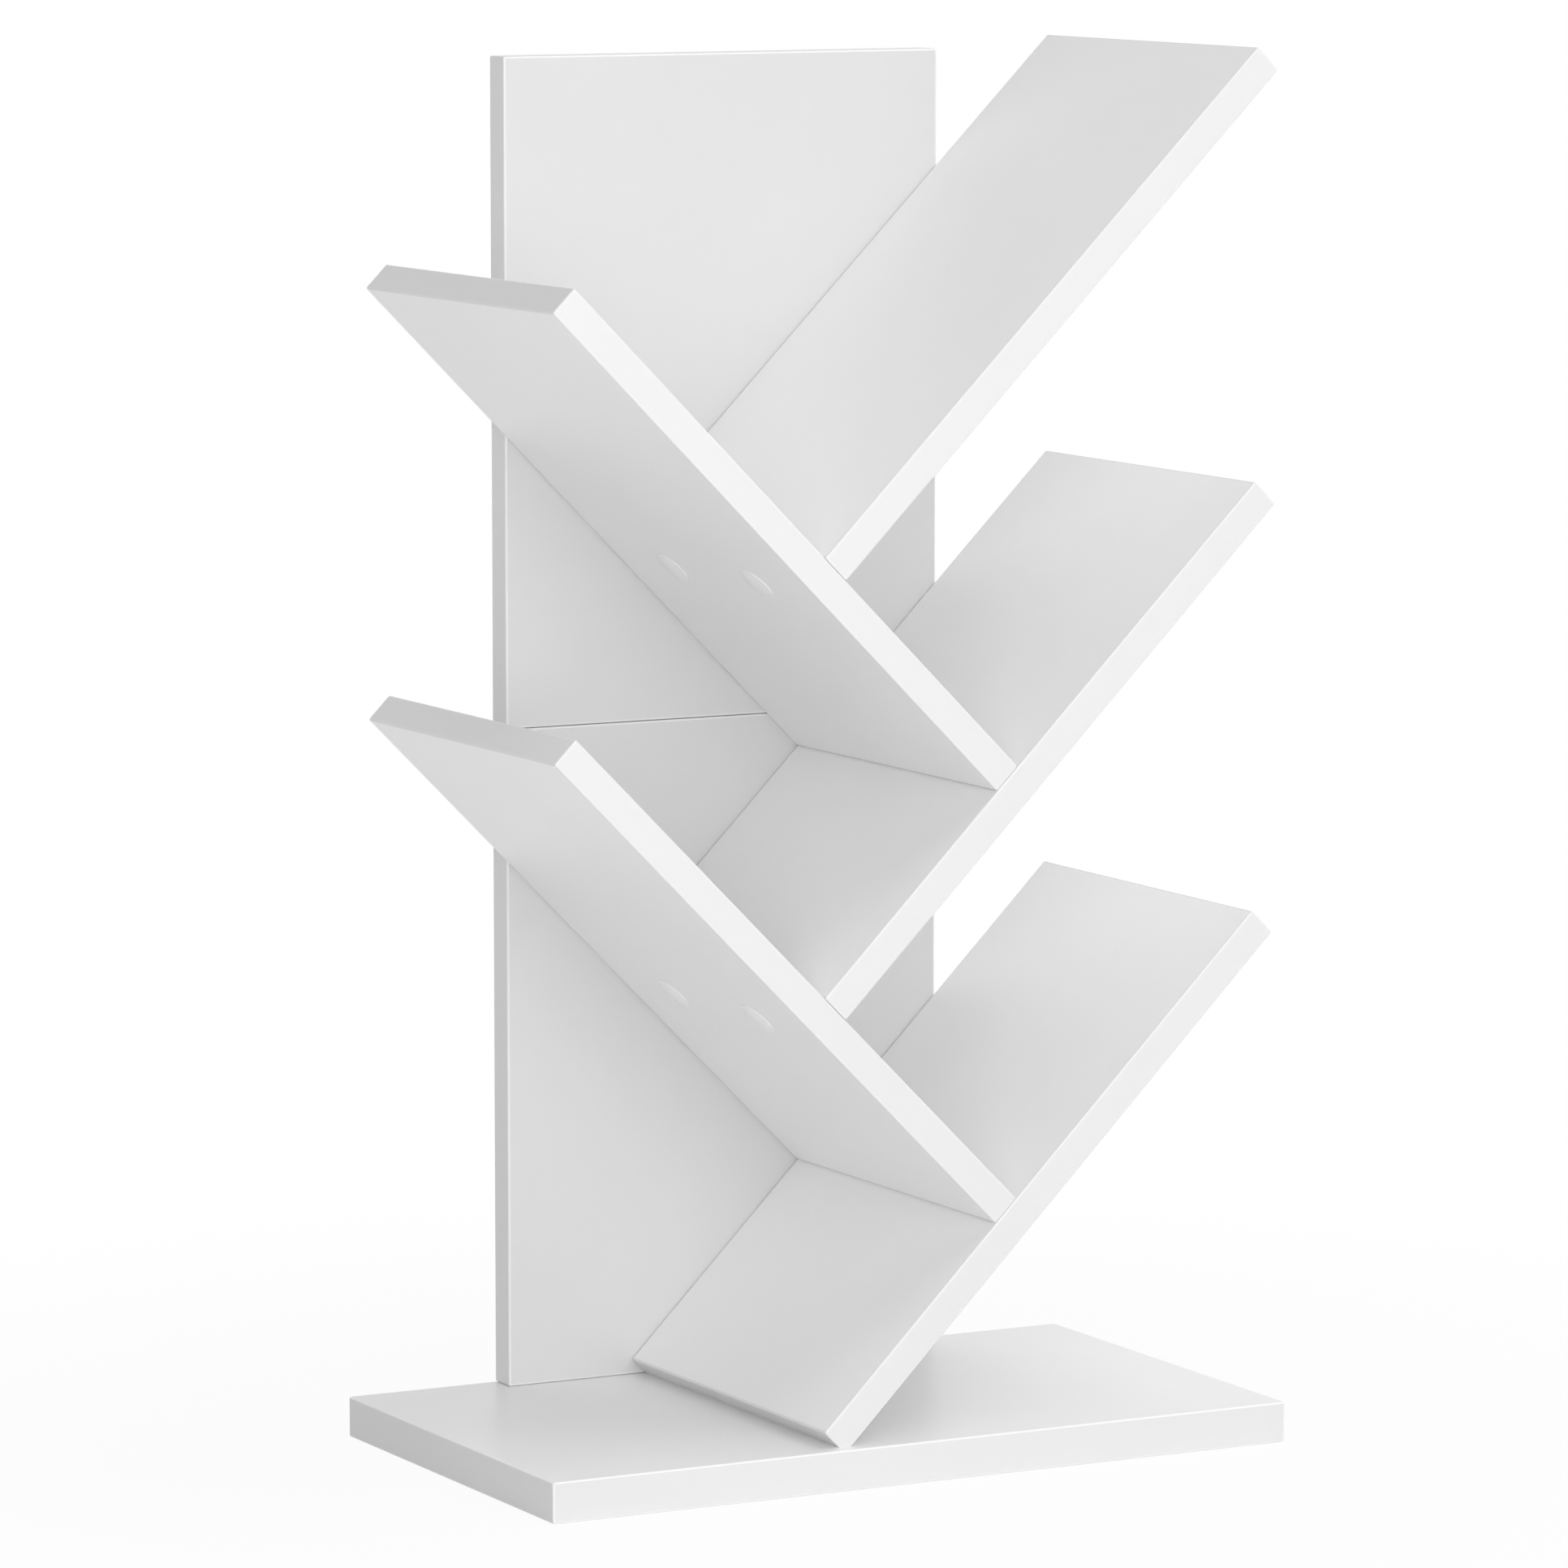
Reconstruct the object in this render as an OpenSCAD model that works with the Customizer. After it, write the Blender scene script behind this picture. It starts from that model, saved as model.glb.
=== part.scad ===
// Tree shaped desktop bookshelf: five leaning shelves on a two board back and a flat base.
// The shelves zigzag upwards. Each one stands square on the upper face of the one below it,
// so the right leaning and the left leaning shelves meet at 90 degrees and lean by 45 degrees.
// Origin: middle of the base, on its underside. +X right, -Y front, +Z up. Sizes are in mm.

/* [Base] */
// Width of the base
base_w = 300; // [260:5:400]
// Depth of the base, front to back
base_d = 170; // [130:5:240]
// Thickness of the base
base_t = 15; // [12:1:25]

/* [Back boards] */
// Width of the back boards
back_w = 180; // [150:5:230]
// Thickness of the back boards
back_t = 12; // [9:1:18]
// Height of the top shelf's tip above the top edge of the back
tip_above_back = 4.6; // [-20:0.2:30]
// Height of the seam between the back boards above the lower end of the upper left shelf
seam_above_joint = 4.4; // [-10:0.2:12]

/* [Shelves] */
// Length of each shelf, from its lower end to its tip
shelf_len = 250; // [190:5:300]
// Thickness of the shelves
shelf_t = 12; // [9:1:18]
// Clear gap between two shelves that lean the same way
shelf_gap = 99; // [85:1:125]
// Distance of the shelves' front edges behind the front of the base
shelf_setback = 5; // [0:1:25]
// Width of the flat on which the lowest shelf stands
foot_flat = 5.2; // [3:0.2:9]
// Radius of the rounded edges of every board
edge_round = 0.8; // [0.4:0.1:2.5]

/* [Connecting screws] */
// Diameter of the screws
screw_d = 5; // [4.5:0.5:6]
// Length of the screws, head included
screw_len = 40; // [34:1:46]
// Diameter of the countersunk heads
head_d = 9; // [8:0.5:11]
// Height of the cylindrical rim of a head
head_rim = 0.5; // [0.2:0.1:1]
// Depth of a head below the face of its board
head_sink = 0.2; // [0:0.1:0.6]
// Width across flats of the hex socket
socket_af = 3; // [2.5:0.5:3.5]
// Depth of the hex socket
socket_depth = 2.2; // [1.5:0.1:3]
// Distance between the two screws of a shelf joint, front to back
joint_screw_pitch = 66; // [40:1:75]
// Distance of the first back screw from a shelf's lower end
back_screw_start = 40; // [36:1:60]
// Distance of the second back screw from the side edge of the back
back_screw_inset = 19; // [12:1:30]
// Distance of the base screws from the side edge of the back
base_screw_inset = 25; // [15:1:35]

/* [Screw covers] */
// Diameter of the covers
cover_d = 15; // [12:0.5:18]
// Thickness of the covers in the middle
cover_t = 1; // [0.6:0.1:2]
// Height of a cover's rim, from which its face rises as a low dome
cover_rim = 0.3; // [0.2:0.1:0.5]

/* [Dowels] */
// Diameter of the dowels
dowel_d = 6; // [5:0.5:8]
// Length of the dowels
dowel_len = 30; // [20:1:36]
// Chamfer at each end of a dowel
dowel_chamfer = 0.8; // [0.4:0.1:1.2]
// Depth of the dowel holes in the base
base_dowel_depth = 9; // [7:0.5:10]
// Distance between the two dowels of a joint
dowel_pitch = 70; // [50:5:80]

/* [Fits] */
// Play round a screw, on each side
screw_play = 0.1; // [0.05:0.05:0.3]
// Play round a dowel or a cover's stem, on each side
push_play = 0.05; // [0.05:0.05:0.15]
// Spare depth at the bottom of a blind hole or socket
end_play = 0.6; // [0.3:0.1:1]

/* [Hidden] */
$fn = 48;

// Segments of the wide circle behind a cover's dome, of which the cover takes in only the top
dome_fn = 720;
// How far a cutting shape runs past the face that it cuts
over = 1;
// Both sets of shelves lean alike, and they meet square, so this angle is half of 90 degrees
lean = 45;

// The shelves from the lowest up, leaning right and left by turns
SHELVES = ["bottom_right", "lower_left", "middle_right", "upper_left", "top_right"];
TOP_LEVEL = len(SHELVES) - 1;

// A shelf's level in the zigzag, counted from 0 at the bottom: even levels lean right
function level_of(shelf) = search([shelf], SHELVES)[0];

// Step of the zigzag, from one shelf to the next one that leans the same way
step = shelf_gap + shelf_t;
// Half the sideways distance between the left and the right knees of the zigzag
knee_x = step * cos(lean) / 2;
// Height of the zigzag's start, the upper corner of the lowest shelf's foot
start_z = base_t - foot_flat / 2 + shelf_t * cos(lean);
// Height of the top shelf's tip, and of the back boards' top edge
tip_z = start_z + (TOP_LEVEL * step + shelf_len) * sin(lean);
back_top = tip_z - tip_above_back;
// Height of the seam between the back boards, tied to the joint of the upper left shelf
seam_z = start_z + level_of("upper_left") * step * sin(lean) + seam_above_joint;

// Depth of the shelves, from the setback to the front of the back boards
shelf_d = base_d - shelf_setback - back_t;
// Front edges of the shelves and front face of the back boards
shelf_y = shelf_setback - base_d / 2;
back_y = base_d / 2 - back_t;

// Distance along a shelf of the joint with the next one, which stands on the shelf's upper face
joint_x = step - shelf_t / 2;
// Distances along a shelf of its two back screws
back_screw_xs = [
    back_screw_start,
    (back_w / 2 - back_screw_inset + knee_x) / cos(lean) - shelf_t / 2
];
// Places of a joint's two screws, front to back
joint_screw_ys = [for (side = [-1, 1]) shelf_y + (shelf_d + side * joint_screw_pitch) / 2];
// Places of the base screws and of the dowels along X, and of both in the thickness of the back
base_screw_xs = [for (side = [-1, 1]) side * (back_w / 2 - base_screw_inset)];
dowel_xs = [for (side = [-1, 1]) side * dowel_pitch / 2];
back_mid_y = back_y + back_t / 2;

// A rectangle with rounded corners, made of exact arcs.
module rounded_rect(w, h, r) {
    translate([r, 0]) square([w - 2 * r, h]);
    translate([0, r]) square([w, h - 2 * r]);
    for (x = [r, w - r], y = [r, h - r]) translate([x, y]) circle(r);
}

// A board from the origin to size, with every edge rounded.
module board(size, r = edge_round) {
    intersection() {
        linear_extrude(size.z) rounded_rect(size.x, size.y, r);
        rotate([90, 0, 90]) linear_extrude(size.x) rounded_rect(size.y, size.z, r);
        translate([0, size.y, 0]) rotate([90, 0, 0])
            linear_extrude(size.y) rounded_rect(size.x, size.z, r);
    }
}

// Puts its children in a shelf's own frame: +X runs up along the shelf from its lower end,
// +Z is square to its upper face, and the shelf's upper face is at z = 0.
module on_shelf(level) {
    pair = floor(level / 2);
    translate([-knee_x, 0, start_z]) rotate([0, -lean, 0])
        if (level % 2 == 0)
            translate([pair, 0, pair] * step) children();
        else
            translate([pair + 1, 0, pair] * step) mirror([1, 0, -1]) children();
}

// A hexagonal prism with its width across flats.
module hex_prism(af, h) {
    cylinder(d = af / cos(30), h = h, $fn = 6);
}

// The outline of a countersunk screw, grown by play: head face at z = 0, tip towards -Z.
module screw_form(play = 0, spare = 0) {
    head_h = (head_d - screw_d) / 2;
    rotate_extrude() polygon([
        [0, 0],
        [head_d / 2 + play, 0],
        [head_d / 2 + play, -head_rim],
        [screw_d / 2 + play, -head_rim - head_h],
        [screw_d / 2 + play, -screw_len - spare],
        [0, -screw_len - spare]
    ]);
}

// A connecting screw with a hex socket, sunk below the face at z = 0.
module screw() {
    translate([0, 0, -head_sink]) difference() {
        screw_form();
        translate([0, 0, -socket_depth]) hex_prism(socket_af, socket_depth + over);
    }
}

// The hole for a connecting screw, from above the face at z = 0 to just past the tip.
module screw_hole() {
    translate([0, 0, -head_sink]) {
        screw_form(screw_play, end_play);
        cylinder(d = head_d + 2 * screw_play, h = head_sink + over);
    }
}

// A push-in cover with a low dome, lying on the face at z = 0, its stem in the hex socket.
module screw_cover() {
    crown = cover_t - cover_rim;
    dome_r = (pow(cover_d / 2, 2) + pow(crown, 2)) / (2 * crown);
    stem_h = head_sink + socket_depth - end_play;
    rotate_extrude() intersection() {
        square([cover_d / 2, cover_t]);
        translate([0, cover_t - dome_r]) circle(dome_r, $fn = dome_fn);
    }
    translate([0, 0, -stem_h]) hex_prism(socket_af - 2 * push_play, stem_h + cover_t / 2);
}

// A dowel with chamfered ends, standing on z = 0.
module dowel() {
    rotate_extrude() polygon([
        [0, 0],
        [dowel_d / 2 - dowel_chamfer, 0],
        [dowel_d / 2, dowel_chamfer],
        [dowel_d / 2, dowel_len - dowel_chamfer],
        [dowel_d / 2 - dowel_chamfer, dowel_len],
        [0, dowel_len]
    ]);
}

// The hole for a dowel, with spare depth at both ends.
module dowel_hole() {
    translate([0, 0, -end_play])
        cylinder(d = dowel_d + 2 * push_play, h = dowel_len + 2 * end_play);
}

// Both dowels between the base and the lower back board, or their holes.
module at_base_dowels() {
    for (x = dowel_xs)
        translate([x, back_mid_y, base_t - base_dowel_depth + end_play]) children();
}

// Both dowels in the seam between the back boards, or their holes.
module at_seam_dowels() {
    for (x = dowel_xs) translate([x, back_mid_y, seam_z - dowel_len / 2]) children();
}

// Both screws from under the base into the lower back board, or their holes.
module at_base_screws() {
    for (x = base_screw_xs) translate([x, back_mid_y, 0]) rotate([180, 0, 0]) children();
}

// Both screws from behind the back into a shelf's rear edge, or their holes.
module at_back_screws(level) {
    on_shelf(level) for (x = back_screw_xs)
        translate([x, base_d / 2, -shelf_t / 2]) rotate([-90, 0, 0]) children();
}

// Both screws from under a shelf into the lower end of the next one, their holes or covers.
module at_joint_screws(level) {
    on_shelf(level) for (y = joint_screw_ys)
        translate([joint_x, y, -shelf_t]) rotate([180, 0, 0]) children();
}

// The board of one shelf, drilled for its back screws, for the screws that hold its lower end
// to the shelf below, and for those that it passes on into the shelf above.
module shelf(level) {
    color("whitesmoke") difference() {
        on_shelf(level) translate([0, shelf_y, -shelf_t]) board([shelf_len, shelf_d, shelf_t]);
        at_back_screws(level) screw_hole();
        if (level > 0) at_joint_screws(level - 1) screw_hole();
        if (level < TOP_LEVEL) at_joint_screws(level) screw_hole();
    }
}

// A back board between two heights, drilled for the screws and dowels that reach it.
module back_board(low, high) {
    color("whitesmoke") difference() {
        translate([-back_w / 2, back_y, low]) board([back_w, back_t, high - low]);
        at_seam_dowels() dowel_hole();
        for (level = [0 : TOP_LEVEL]) at_back_screws(level) screw_hole();
        if (low < seam_z) {
            at_base_dowels() dowel_hole();
            at_base_screws() screw_hole();
        }
    }
}

module base_board() {
    color("whitesmoke") difference() {
        translate([-base_w / 2, -base_d / 2, 0]) board([base_w, base_d, base_t]);
        at_base_dowels() dowel_hole();
        at_base_screws() screw_hole();
    }
}

module lower_back_board() {
    back_board(base_t, seam_z);
}

module upper_back_board() {
    back_board(seam_z, back_top);
}

// The lowest shelf, whose lower corner is sawn flat where it stands on the base.
module bottom_right_shelf() {
    difference() {
        shelf(level_of("bottom_right"));
        translate([-base_w / 2, -base_d / 2, base_t - shelf_t]) cube([base_w, base_d, shelf_t]);
    }
}

module lower_left_shelf() {
    shelf(level_of("lower_left"));
}

module middle_right_shelf() {
    shelf(level_of("middle_right"));
}

module upper_left_shelf() {
    shelf(level_of("upper_left"));
}

module top_right_shelf() {
    shelf(level_of("top_right"));
}

module base_dowels() {
    color("burlywood") at_base_dowels() dowel();
}

module back_board_dowels() {
    color("burlywood") at_seam_dowels() dowel();
}

module base_screws() {
    color("silver") at_base_screws() screw();
}

// The two screws that hold a shelf to the back.
module back_screws(level) {
    color("silver") at_back_screws(level) screw();
}

// The two screws that hold a shelf's lower end to the shelf below it.
module joint_screws(level) {
    color("silver") at_joint_screws(level - 1) screw();
}

// The two covers over a shelf's joint screws, on the underside of the shelf below it.
module screw_covers(level) {
    color("white") at_joint_screws(level - 1) screw_cover();
}

base_board();
lower_back_board();
upper_back_board();
bottom_right_shelf();
lower_left_shelf();
middle_right_shelf();
upper_left_shelf();
top_right_shelf();
base_dowels();
back_board_dowels();
base_screws();
back_screws(level_of("bottom_right"));  // bottom_right_back_screws
back_screws(level_of("lower_left"));  // lower_left_back_screws
back_screws(level_of("middle_right"));  // middle_right_back_screws
back_screws(level_of("upper_left"));  // upper_left_back_screws
back_screws(level_of("top_right"));  // top_right_back_screws
joint_screws(level_of("lower_left"));  // lower_left_joint_screws
joint_screws(level_of("middle_right"));  // middle_right_joint_screws
joint_screws(level_of("upper_left"));  // upper_left_joint_screws
joint_screws(level_of("top_right"));  // top_right_joint_screws
screw_covers(level_of("lower_left"));  // lower_left_screw_covers
screw_covers(level_of("middle_right"));  // middle_right_screw_covers
screw_covers(level_of("upper_left"));  // upper_left_screw_covers
screw_covers(level_of("top_right"));  // top_right_screw_covers
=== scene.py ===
"""Dresses the tree shaped bookshelf: white faced boards, screw covers, screws, dowels and a studio.

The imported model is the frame. Every board is built again as a finely rounded, drilled mesh in the
place of its plain solid, and so is every screw, cover and dowel. All lengths are in metres.
"""

import logging
import math
from dataclasses import dataclass, field
from enum import Enum

import bpy
import numpy as np
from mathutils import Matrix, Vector
from numpy.typing import NDArray


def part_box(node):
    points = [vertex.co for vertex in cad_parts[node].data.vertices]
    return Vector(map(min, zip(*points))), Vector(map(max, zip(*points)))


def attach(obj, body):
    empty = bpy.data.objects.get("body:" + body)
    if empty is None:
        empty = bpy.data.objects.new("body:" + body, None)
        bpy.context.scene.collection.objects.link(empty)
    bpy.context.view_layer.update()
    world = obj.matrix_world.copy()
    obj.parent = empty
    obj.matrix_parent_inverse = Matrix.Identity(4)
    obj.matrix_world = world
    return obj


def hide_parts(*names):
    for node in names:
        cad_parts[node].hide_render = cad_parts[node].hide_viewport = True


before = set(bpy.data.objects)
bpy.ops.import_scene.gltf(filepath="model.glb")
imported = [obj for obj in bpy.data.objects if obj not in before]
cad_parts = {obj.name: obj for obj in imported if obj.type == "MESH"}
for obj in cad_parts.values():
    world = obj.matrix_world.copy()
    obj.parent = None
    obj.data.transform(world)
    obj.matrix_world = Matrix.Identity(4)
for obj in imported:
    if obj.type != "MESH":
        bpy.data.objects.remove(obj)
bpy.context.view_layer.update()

BODY = "root"
MM = 0.001
WIDTH, DEPTH, UP = np.eye(3)

# A direction with less than this share on an axis counts as lying across it.
CLEARLY_ACROSS = 0.9
# The middle of a quarter circle stands this share of its radius in from the corner it rounds.
ARC_MIDDLE = 0.3
# How far a hole's cutter stands out of the face that it is drilled into.
CUTTER_RISE = 1 * MM
# How far off a board's rounded form a point may lie and still belong to it.
ON_FORM = 1e-5
# The least length that is divided by.
TINY = 1e-9
# The points' mark that says how much each of them belongs to a rounded edge, where the boards take
# a painted edge tone.
PAINTED_EDGE_MARK = "painted_edge_light"

Array = NDArray[np.float64]
Faces = NDArray[np.int64]
Ring = tuple[Array | float, float]
Socket = bpy.types.NodeSocket

log = logging.getLogger("bookshelf")


def add_object(name: str, data: bpy.types.ID) -> bpy.types.Object:
    """Puts a new object into the scene.

    Args:
        name: Its name.
        data: Its mesh, lamp or camera.

    Returns:
        The object.
    """
    made = bpy.data.objects.new(name, data)
    bpy.context.scene.collection.objects.link(made)
    return made


def read(items: bpy.types.bpy_prop_collection, key: str, kind: type, width: int = 1) -> Array:
    """Reads a property of a mesh's items.

    Args:
        items: The mesh's points, corners or faces.
        key: The property's name.
        kind: Its numbers' type.
        width: How many numbers an item has.

    Returns:
        All the numbers in a row.
    """
    values = np.empty(len(items) * width, kind)
    items.foreach_get(key, values)
    return values


@dataclass
class Surface:
    """A surface as arrays: its points, and its faces as lists of point numbers."""

    points: Array
    faces: list[list[int]]

    def placed(self, place: "Place") -> "Surface":
        """Carries the surface from a frame into the shelf's, its faces still pointing outwards."""
        faces = self.faces if place.is_right_handed() else [f[::-1] for f in self.faces]
        return Surface(place.to_shelf(self.points), faces)

    @staticmethod
    def joined(parts: list["Surface"]) -> "Surface":
        """Puts several surfaces into one, each keeping its own points.

        Args:
            parts: The surfaces, in the shelf's frame.

        Returns:
            One surface that holds them all.
        """
        starts = np.cumsum([0] + [len(p.points) for p in parts[:-1]])
        faces = [[i + int(s) for i in f] for p, s in zip(parts, starts) for f in p.faces]
        return Surface(np.vstack([p.points for p in parts]), faces)

    def to_mesh(self, name: str) -> bpy.types.Mesh:
        """Writes the arrays into a new mesh.

        Args:
            name: The mesh's name.

        Returns:
            The mesh.
        """
        mesh = bpy.data.meshes.new(name)
        mesh.from_pydata(self.points.tolist(), [], self.faces)
        mesh.update()
        return mesh


@dataclass(frozen=True)
class Place:
    """A frame of its own: an origin and three square axes, given in the shelf's frame."""

    origin: Array
    axes: Array

    @staticmethod
    def facing(origin: Array, outward: Array) -> "Place":
        """A frame whose +Z points out of a face, for what is turned about that direction.

        Its +X is square to +Z and to the depth, or to the width where +Z lies along the depth.

        Args:
            origin: The point on the face.
            outward: The direction out of the face.

        Returns:
            A right handed frame there.
        """
        z = outward / np.linalg.norm(outward)
        x = np.cross(DEPTH if abs(z[1]) < CLEARLY_ACROSS else WIDTH, z)
        x /= np.linalg.norm(x)
        return Place(origin, np.array([x, np.cross(z, x), z]))

    def is_right_handed(self) -> bool:
        """True if the frame isn't mirrored."""
        return bool(np.linalg.det(self.axes) > 0)

    def to_shelf(self, points: Array) -> Array:
        """Points of this frame, in the shelf's frame."""
        return self.origin + points @ self.axes


def quads_of_grid(ids: Faces) -> list[list[int]]:
    """Joins a grid of point numbers into quads.

    Args:
        ids: Point numbers, one row for each row of the grid.

    Returns:
        One quad for each cell, wound from row to row and then from column to column.
    """
    cells = np.stack([ids[:-1, :-1], ids[1:, :-1], ids[1:, 1:], ids[:-1, 1:]], axis=-1)
    return cells.reshape(-1, 4).tolist()


def angles_of(columns: int) -> Array:
    """The angles about +Z of a ring's points, evenly spaced from 0."""
    return np.arange(columns) * 2 * math.pi / columns


def rings(rows: list[Ring], columns: int) -> tuple[Array, Array]:
    """Spreads the rings of a turned shape over its grid.

    Args:
        rows: Each ring's radius, one for all angles or one for each, and its height.
        columns: Number of points on a ring.

    Returns:
        The radius and the height at each point of the grid.
    """
    flat = np.ones(columns)
    return np.array([r * flat for r, _ in rows]), np.array([h * flat for _, h in rows])


def turned(radii: Array, heights: Array) -> Surface:
    """A closed turned shape whose radius may also change round the axis.

    Row i of the grid is one ring about +Z. Its point j stands at the angle 2 pi j / columns, at
    the ring's radius there and its height. The first and last rings have shrunk to one point.

    Args:
        radii: Radius of each ring at each angle, from the bottom of the shape to its top.
        heights: Height of each ring at each angle.

    Returns:
        The closed surface, with its faces pointing outwards.
    """
    rows, columns = radii.shape
    angle = angles_of(columns)
    grid = np.stack([radii * np.cos(angle), radii * np.sin(angle), heights], axis=-1)
    inner = grid[1:-1].reshape(-1, 3)
    points = np.vstack([inner, grid[0, :1], grid[-1, :1]])
    ids = np.arange(len(inner)).reshape(rows - 2, columns)
    ids = np.hstack([ids, ids[:, :1]])
    bottom, top = len(inner), len(inner) + 1
    faces = [[f[0], f[3], f[2], f[1]] for f in quads_of_grid(ids)]
    faces += [[bottom, int(b), int(a)] for a, b in zip(ids[0, :-1], ids[0, 1:])]
    faces += [[top, int(a), int(b)] for a, b in zip(ids[-1, :-1], ids[-1, 1:])]
    return Surface(points, faces)


def hex_radius(across_flats: float, columns: int) -> Array:
    """Radius of a hexagon at each angle: half its width over the cosine from the nearest flat."""
    sixth = math.pi / 3
    return across_flats / 2 / np.cos(np.mod(angles_of(columns), sixth) - sixth / 2)


@dataclass(frozen=True)
class Box:
    """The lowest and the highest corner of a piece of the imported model."""

    low: Array
    high: Array

    @staticmethod
    def of(node: str) -> "Box":
        """The box of one CAD node at rest."""
        low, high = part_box(node)
        return Box(np.array(low), np.array(high))

    @property
    def size(self) -> Array:
        """Width, depth and height."""
        return self.high - self.low

    @property
    def middle(self) -> Array:
        """The box's middle."""
        return (self.low + self.high) / 2


@dataclass(frozen=True)
class Shelving:
    """Driving sizes of the bookshelf, and the zigzag that places its shelves."""

    shelf_len: float = 250 * MM
    shelf_t: float = 12 * MM
    shelf_gap: float = 99 * MM
    foot_flat: float = 5.2 * MM
    edge_round: float = 0.8 * MM
    lean: float = math.radians(45)
    joint_screw_pitch: float = 66 * MM
    back_screw_start: float = 40 * MM
    back_screw_inset: float = 19 * MM
    base_screw_inset: float = 25 * MM
    base_dowel_depth: float = 9 * MM
    dowel_pitch: float = 70 * MM
    joint_line: float = 0.09 * MM
    base: Box = field(default_factory=lambda: Box.of("base_board"))
    lower_back: Box = field(default_factory=lambda: Box.of("lower_back_board"))
    upper_back: Box = field(default_factory=lambda: Box.of("upper_back_board"))
    lowest_shelf: Box = field(default_factory=lambda: Box.of("bottom_right_shelf"))

    @property
    def step(self) -> float:
        """Step of the zigzag between two shelves that lean the same way."""
        return self.shelf_gap + self.shelf_t

    @property
    def knee_x(self) -> float:
        """Half the sideways distance between the zigzag's left and right knees."""
        return self.step * math.cos(self.lean) / 2

    @property
    def start_z(self) -> float:
        """Height of the zigzag's start, the upper corner of the lowest shelf's foot."""
        return self.base.high[2] - self.foot_flat / 2 + self.shelf_t * math.cos(self.lean)

    @property
    def shelf_y(self) -> float:
        """The shelves' front edges."""
        return self.lowest_shelf.low[1]

    @property
    def shelf_d(self) -> float:
        """Depth of the shelves, back to the front of the back boards."""
        return self.lower_back.low[1] - self.shelf_y

    @property
    def seam_z(self) -> float:
        """Height of the seam between the back boards."""
        return self.upper_back.low[2]

    @property
    def base_dowel_z(self) -> float:
        """Height on which the dowels in the base stand."""
        return self.base.high[2] - self.base_dowel_depth + Dowel().end_play

    @property
    def seam_dowel_z(self) -> float:
        """Height on which the dowels in the seam stand."""
        return self.seam_z - Dowel().length / 2

    @property
    def back_reach(self) -> float:
        """Distance of the back boards' side edges from the middle."""
        return self.lower_back.high[0]

    def shelf_place(self, level: int) -> Place:
        """The frame of one shelf: +X up along it, +Z square out of its upper face.

        The frame of a left leaning shelf is the mirror image of a right leaning one's.

        Args:
            level: Number of the shelf in the zigzag, counted from 0 at the bottom.

        Returns:
            The frame, with its origin on the upper face at the shelf's lower end.
        """
        along = np.array([math.cos(self.lean), 0.0, math.sin(self.lean)])
        out = np.array([-math.sin(self.lean), 0.0, math.cos(self.lean)])
        start = np.array([-self.knee_x, 0.0, self.start_z])
        pair, leans_left = divmod(level, 2)
        start = start + self.step * ((pair + leans_left) * along + pair * out)
        return Place(start, np.array([out, DEPTH, along] if leans_left else [along, DEPTH, out]))

    def back_screw_places(self, level: int) -> list[Place]:
        """The frames of a shelf's two back screws, on the back's rear face, facing out of it.

        Both stand in the middle of the shelf's thickness, the second one where that passes a
        set way inside the back's side edge.

        Args:
            level: Number of the shelf in the zigzag.

        Returns:
            The two frames.
        """
        shelf = self.shelf_place(level)
        rear_y, half = self.lower_back.high[1], self.shelf_t / 2
        second = (self.back_reach - self.back_screw_inset + self.knee_x) / math.cos(self.lean)
        stands = (self.back_screw_start, second - half)
        spots = [shelf.to_shelf(np.array([x, rear_y, -half])) for x in stands]
        return [Place.facing(spot, DEPTH) for spot in spots]

    def joint_screw_places(self, level: int) -> list[Place]:
        """The frames of the two screws through a shelf into the next one, facing out below it.

        Args:
            level: Number of the shelf that the screws pass through.

        Returns:
            The two frames, on the shelf's underside.
        """
        shelf = self.shelf_place(level)
        middle = self.shelf_y + self.shelf_d / 2
        along = self.step - self.shelf_t / 2
        depths = [middle + side * self.joint_screw_pitch / 2 for side in (-1, 1)]
        spots = [shelf.to_shelf(np.array([along, y, -self.shelf_t])) for y in depths]
        return [Place.facing(spot, -shelf.axes[2]) for spot in spots]

    def pair_in_back(self, reach: float, z: float, outward: Array) -> list[Place]:
        """The frames of two fastenings in the back's thickness, a reach either side of x = 0."""
        y = self.lower_back.middle[1]
        return [Place.facing(np.array([side * reach, y, z]), outward) for side in (-1, 1)]

    def base_screw_places(self) -> list[Place]:
        """The frames of the two screws from under the base into the back, facing down."""
        return self.pair_in_back(self.back_reach - self.base_screw_inset, 0.0, -UP)

    def dowel_places(self, z: float) -> list[Place]:
        """The frames of a joint's two dowels, standing on the height z."""
        return self.pair_in_back(self.dowel_pitch / 2, z, UP)


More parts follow.
